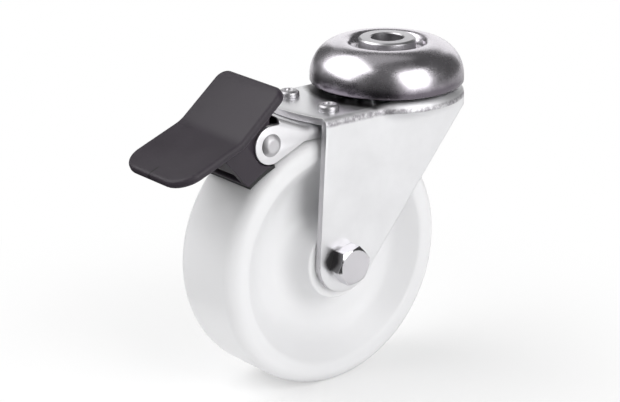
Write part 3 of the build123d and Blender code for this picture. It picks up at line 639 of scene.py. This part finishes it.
def foot_plate():
    """Bent foot plate: a flat moulding with round corners and a rounded rim, laid along its bend."""
    inner_way = (plate_kink - plate_inner).normalized()
    outer_way = (plate_outer - plate_kink).normalized()
    bend = inner_way.angle(outer_way)
    run = plate_kink_radius * math.tan(bend / 2)
    to_bend = (plate_kink - plate_inner).length - run
    after_bend = to_bend + plate_kink_radius * bend
    reach = after_bend + (plate_outer - plate_kink).length - run
    outline = rounded([(0, inner_half, inner_corner), (0, -inner_half, inner_corner),
                       (reach, -outer_half, outer_corner), (reach, outer_half, outer_corner)], 14)
    made = bmesh.new()
    top = [made.verts.new((along, across, 0)) for along, across in outline]
    low = [made.verts.new((along, across, -plate_sheet)) for along, across in outline]
    made.faces.new(top)
    made.faces.new(low[::-1])
    for k in range(len(top)):
        made.faces.new((top[k - 1], low[k - 1], low[k], top[k]))
    bmesh.ops.recalc_face_normals(made, faces=made.faces)
    rim = [edge for edge in made.edges if abs(edge.verts[0].co.z - edge.verts[1].co.z) < 1e-6]
    bmesh.ops.bevel(made, geom=rim, offset=plate_rim, segments=5, profile=0.5, affect="EDGES",
                    clamp_overlap=False)
    cuts = [to_bend * share for share in (0.3, 0.6)]
    cuts += [to_bend + (after_bend - to_bend) * k / 12 for k in range(13)]
    for cut in cuts:
        bmesh.ops.bisect_plane(made, geom=made.verts[:] + made.edges[:] + made.faces[:], dist=1e-5,
                               plane_co=(cut, 0, 0), plane_no=(1, 0, 0))
    start_normal = Vector((inner_way.y, -inner_way.x))
    for corner in made.verts:
        along, across, depth = corner.co
        depth *= 1 + 0.18 * max(1 - max(along, 0) / to_bend, 0)
        if along < to_bend:
            spot, up = plate_inner + inner_way * along, start_normal
        else:
            turn = min((along - to_bend) / plate_kink_radius, bend)
            up = Matrix.Rotation(-turn, 2) @ start_normal
            centre = plate_inner + inner_way * to_bend + start_normal * plate_kink_radius
            spot = centre - up * plate_kink_radius + Vector((-up.y, up.x)) * max(along - after_bend, 0)
        spot = spot + up * depth
        corner.co = Vector((spot.x, across * (1 + 0.012 * min(along / to_bend, 1)), spot.y)) * mm
    # The way along the plate runs towards -X, which mirrors it, so its faces are turned back
    bmesh.ops.reverse_faces(made, faces=made.faces)
    return made


def pedal_mesh():
    """Foot plate with the node's block, pocket and hub under it, closed inside the plate."""
    made = node_copy("pedal")
    inner_way = (plate_kink - plate_inner).normalized()
    outer_way = (plate_outer - plate_kink).normalized()
    planes = []
    for spot, way, depth in ((plate_inner, inner_way, 4.0), (plate_outer, outer_way, plate_sheet)):
        up = Vector((way.y, -way.x))
        start = spot - up * (depth + 0.02)
        planes.append((Vector((start.x, 0, start.y)) * mm, Vector((up.x, 0, up.y))))
    for place, up in planes:
        bmesh.ops.bisect_plane(made, geom=made.verts[:] + made.edges[:] + made.faces[:], dist=1e-7,
                               plane_co=place, plane_no=up)
    plate_faces = [face for face in made.faces
                   if all((face.calc_center_median() - place).dot(up) > -1e-6 for place, up in planes)]
    bmesh.ops.delete(made, geom=plate_faces, context="FACES")
    border = [edge for edge in made.edges if edge.is_boundary]
    risen = bmesh.ops.extrude_edge_only(made, edges=border)["geom"]
    corners = [part for part in risen if isinstance(part, bmesh.types.BMVert)]
    for corner in corners:
        corner.co.z += block_depth * mm
    corners.sort(key=lambda corner: corner.co.x)
    near = [corner for corner in corners if corner.co.y < 0]
    far = [corner for corner in corners if corner.co.y > 0]
    for k in range(len(near) - 1):
        made.faces.new((near[k], near[k + 1], far[k + 1], far[k]))
    block = bpy.data.meshes.new("pedal_block")
    made.to_mesh(block)
    made.free()
    made = foot_plate()
    made.from_mesh(block)
    mesh = bpy.data.meshes.new("pedal_moulded")
    made.to_mesh(mesh)
    made.free()
    return mesh


pedal = piece("pedal_moulded", "pedal", pedal_mesh(), pedal_plastic)
settle(pedal, 30)
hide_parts("pedal")
shoe = eased_copy("brake_shoe", "brake_shoe_sole", "pedal", shoe_plastic, 0.25)

# Wheel: white moulded polyamide with a flat tread, round shoulders and dished sides, on a roller
# cage in its bore. The plastic is slightly translucent and has the fine sheen of the mould.
axle_place = Vector((-37.5, 0, -76.5)) * mm
to_axle = Matrix.Translation(axle_place) @ Matrix.Rotation(math.radians(90), 4, "X")
wheel_bore, wheel_radius = 9.65, 50.0
boss_half, dish_half, tread_half = 18.1, 7.5, 17.5
wheel_half = [
    (wheel_bore, boss_half, 0.5), (14.8, boss_half, 0.8), (16.2, dish_half, 8.0),
    (31.0, dish_half, 14.0), (41.5, 16.6, 3.5), (wheel_radius, tread_half, 5.5),
]
wheel_profile = wheel_half + [(across, -along, radius) for across, along, radius in reversed(wheel_half)]
translucent = {"Subsurface Weight": 0.25, "Subsurface Radius": (0.004, 0.004, 0.004),
               "Subsurface Scale": 1.0, "IOR": 1.5}
wheel_plastic = finish_material("wheel_plastic", moulded_plastic, Tone=(0.79, 0.79, 0.8, 1),
                                Roughness=0.36, Grain_Size=1800.0, Grain_Depth=0.1, Cloud_Amount=0.03,
                                constants=translucent)
wheel_mesh = turned_mesh("wheel_moulded", rounded(wheel_profile, 8), 256, to_axle, 50)
wheel = piece("wheel_moulded", "wheel", wheel_mesh, wheel_plastic)
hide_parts("wheel")
cage_plastic = finish_material("cage_plastic", moulded_plastic, Tone=(0.02, 0.02, 0.02, 1),
                               Roughness=0.4)
dress("bearing_cage", cage_plastic)
dress("bearing_rollers", ball_steel)

# Axle: a steel tube between the legs, clamped by a hexagon bolt from the near side and a locking
# nut with a plastic ring on the far side. Forged and plated, with machining on the flats.
bolt_steel = finish_material("bolt_steel", plated_steel, 1.0, Tone=(0.7, 0.685, 0.715, 1), Roughness=0.1,
                             Line_Depth=0.6)
ring_marks(bolt_steel, 1.2, 2500.0, axle_place, True)
tube_steel = finish_material("tube_steel", plated_steel, 1.0, Tone=(0.5, 0.5, 0.51, 1), Roughness=0.35)
insert_plastic = finish_material("insert_plastic", moulded_plastic, Tone=(0.08, 0.16, 0.4, 1),
                                 Roughness=0.4)
head_half_width = 6.75
head_height = 5.8
head_chamfer = math.radians(30)
head_turn = 41
leg_face = 21.5


def hexagon_head(made, turn_degrees):
    """Forged hexagon head on the near leg: six flats cut by a shallow cone round its face."""
    face_radius = head_half_width * 0.93
    rings = [[], [], []]
    for step in range(96):
        angle = 2 * math.pi * step / 96
        across = head_half_width / math.cos((angle + math.pi / 6) % (math.pi / 3) - math.pi / 6)
        shoulder = head_height - (across - face_radius) * math.tan(head_chamfer)
        around = angle + math.radians(turn_degrees)
        levels = ((across, 0), (across, shoulder), (face_radius, head_height))
        for ring, (radius, height) in zip(rings, levels):
            spot = (radius * math.cos(around), -leg_face - height, radius * math.sin(around))
            ring.append(made.verts.new(Vector(spot) * mm))
    for ring, following in zip(rings, rings[1:]):
        for k in range(96):
            made.faces.new((ring[k], ring[(k + 1) % 96], following[(k + 1) % 96], following[k]))
    made.faces.new(rings[0])
    made.faces.new(rings[2])


thread_end = 31.1
thread_pitch = 1.25
thread_start = 24.2
thread_radius, root_radius = 4.0, 3.4
shank_line = [(0, leg_face, 0), (thread_radius, leg_face, 0)]
for turn in range(5):
    crest = -thread_start - turn * thread_pitch
    shank_line += [(thread_radius, crest + 0.1, 0), (thread_radius, crest - 0.1, 0),
                   (root_radius, crest - thread_pitch / 2, 0)]
shank_line += [(root_radius, 0.7 - thread_end, 0), (2.8, -thread_end, 0), (0, -thread_end, 0)]
made = bmesh.new()
made.from_mesh(turned_mesh("axle_bolt_shank", rounded(shank_line), 64, to_axle))
head = bmesh.new()
hexagon_head(head, head_turn)
head.transform(Matrix.Translation(axle_place))
bmesh.ops.recalc_face_normals(head, faces=head.faces)
head_mesh = bpy.data.meshes.new("axle_bolt_head")
head.to_mesh(head_mesh)
head.free()
made.from_mesh(head_mesh)
bolt_mesh = bpy.data.meshes.new("axle_bolt_forged")
made.to_mesh(bolt_mesh)
made.free()
bolt_mesh.shade_smooth()
bolt_mesh.set_sharp_from_angle(angle=math.radians(20))
bolt = piece("axle_bolt_forged", "fork", bolt_mesh, bolt_steel)
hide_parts("axle_bolt")
nut = eased_copy("axle_nut", "axle_nut_forged", "fork", bolt_steel, 0.2)
dress("axle_tube", tube_steel)
dress("nut_insert", insert_plastic)

# Studio: pale floor, soft lamps at the left, the front, behind and above, and a dark cloth lying
# round the left side that only reflections see. None of it is part of the castor.
def seen_ray(tree):
    """1 for what the camera sees, directly or through something clear."""
    path = add_node(tree, "ShaderNodeLightPath").outputs
    return calculate(tree, "MAXIMUM", path["Is Camera Ray"], path["Is Transmission Ray"])


floor_mesh = bpy.data.meshes.new("floor")
floor_height = -126.5 * mm
floor_corners = [(x, y, floor_height) for x, y in ((-6, -6), (6, -6), (6, 6), (-6, 6))]
floor_mesh.from_pydata(floor_corners, [], [(0, 1, 2, 3)])
floor = bpy.data.objects.new("floor", floor_mesh)
bpy.context.scene.collection.objects.link(floor)
floor_material = bpy.data.materials.new("floor_paper")
floor_material.use_nodes = True
tree = floor_material.node_tree
paper = tree.nodes["Principled BSDF"]
paper.inputs["Base Color"].default_value = (0.95, 0.95, 0.95, 1)
paper.inputs["Roughness"].default_value = 0.9
paper.inputs["Specular IOR Level"].default_value = 0.1
white = add_node(tree, "ShaderNodeEmission", Color=(1, 1, 1, 1), Strength=1.0)
away = distance(tree, object_place(tree), (axle_place.x, 0, floor_height), (1, 1, 1))
far = add_node(tree, "ShaderNodeMapRange", {"interpolation_type": "SMOOTHSTEP"}, Value=away,
               From_Min=0.03, From_Max=0.2, To_Min=0.45, To_Max=1.0)
whitened = calculate(tree, "MULTIPLY", far.outputs[0], seen_ray(tree))
mixed = add_node(tree, "ShaderNodeMixShader", Fac=whitened)
tree.links.new(paper.outputs[0], mixed.inputs[1])
tree.links.new(white.outputs[0], mixed.inputs[2])
tree.links.new(mixed.outputs[0], tree.nodes["Material Output"].inputs["Surface"])
floor.data.materials.append(floor_material)

# Room light: weak on the castor, weaker in its reflections and white where the camera looks
world = bpy.data.worlds.new("studio")
bpy.context.scene.world = world
world.use_nodes = True
tree = world.node_tree
room = tree.nodes["Background"]
room.inputs["Color"].default_value = (1, 1, 1, 1)
room.inputs["Strength"].default_value = 0.24
dim = add_node(tree, "ShaderNodeBackground", Color=(1, 1, 1, 1), Strength=0.08)
backdrop = add_node(tree, "ShaderNodeBackground", Color=(1, 1, 1, 1), Strength=1.0)
path = add_node(tree, "ShaderNodeLightPath")
mirrored = add_node(tree, "ShaderNodeMixShader", Fac=path.outputs["Is Glossy Ray"])
tree.links.new(room.outputs[0], mirrored.inputs[1])
tree.links.new(dim.outputs[0], mirrored.inputs[2])
mixed = add_node(tree, "ShaderNodeMixShader", Fac=seen_ray(tree))
tree.links.new(mirrored.outputs[0], mixed.inputs[1])
tree.links.new(backdrop.outputs[0], mixed.inputs[2])
tree.links.new(mixed.outputs[0], tree.nodes["World Output"].inputs["Surface"])


def towards(azimuth, elevation, reach=1.0):
    """Place seen from the castor at angles in degrees, azimuth 0 straight in front."""
    across, up = math.radians(azimuth), math.radians(elevation)
    flat = math.cos(up)
    return Vector((math.sin(across) * flat, -math.cos(across) * flat, math.sin(up))) * reach


def soft_lamp(name, place, size, power, target=(0, 0, -0.03)):
    """Soft lamp that faces the castor."""
    lamp = bpy.data.lights.new(name, "AREA")
    lamp.shape = "RECTANGLE"
    lamp.size, lamp.size_y = size
    lamp.energy = power
    shown = bpy.data.objects.new(name, lamp)
    bpy.context.scene.collection.objects.link(shown)
    shown.location = place
    shown.rotation_euler = (Vector(target) - Vector(place)).to_track_quat("-Z", "Y").to_euler()
    return shown


soft_lamp("lamp_left", towards(-128, 42, 1.2), (1.5, 1.2), 14)
soft_lamp("lamp_front", towards(6, 22, 1.15), (0.8, 1.15), 10)
soft_lamp("lamp_behind", towards(132, 14, 1.3), (1.2, 0.8), 3.2)
soft_lamp("lamp_above", towards(180, 72, 1.2), (1.2, 0.8), 0.9)

flag_mesh = bpy.data.meshes.new("flag")
flag_angles = range(-180, -15, 20)
flag_spots = [towards(angle, 0, reach) for angle in flag_angles for reach in (0.11, 2.4)]
flag_mesh.from_pydata([(spot.x, spot.y, -0.12) for spot in flag_spots], [],
                      [(2 * k, 2 * k + 1, 2 * k + 3, 2 * k + 2) for k in range(len(flag_angles) - 1)])
flag = bpy.data.objects.new("flag", flag_mesh)
bpy.context.scene.collection.objects.link(flag)
flag_black = bpy.data.materials.new("flag_black")
flag_black.use_nodes = True
cloth = flag_black.node_tree.nodes["Principled BSDF"]
cloth.inputs["Base Color"].default_value = (0.02, 0.02, 0.02, 1)
cloth.inputs["Roughness"].default_value = 1.0
flag_mesh.materials.append(flag_black)
for ray in ("camera", "diffuse", "shadow", "transmission"):
    setattr(flag, "visible_" + ray, False)

# Camera: a long lens from the front left, a little above, as in the photograph.
view_azimuth, view_elevation = -38.515, 18.807
aside, lifted, away = -29.287, -62.445, 855.55
picture_width, focal_pixels = 620, 2252.3
sensor_width = 36
back = towards(view_azimuth, view_elevation)
right = towards(view_azimuth + 90, 0)
above = back.cross(right)
camera = bpy.data.objects.new("camera", bpy.data.cameras.new("camera"))
bpy.context.scene.collection.objects.link(camera)
camera.location = (right * aside + above * lifted + back * away) * mm
camera.rotation_euler = (-back).to_track_quat("-Z", "Y").to_euler()
camera.data.lens = sensor_width * focal_pixels / picture_width
camera.data.sensor_width = sensor_width
camera.data.clip_start = 0.05
camera.data.clip_end = 20
bpy.context.scene.camera = camera
bpy.context.scene.view_settings.view_transform = "Standard"
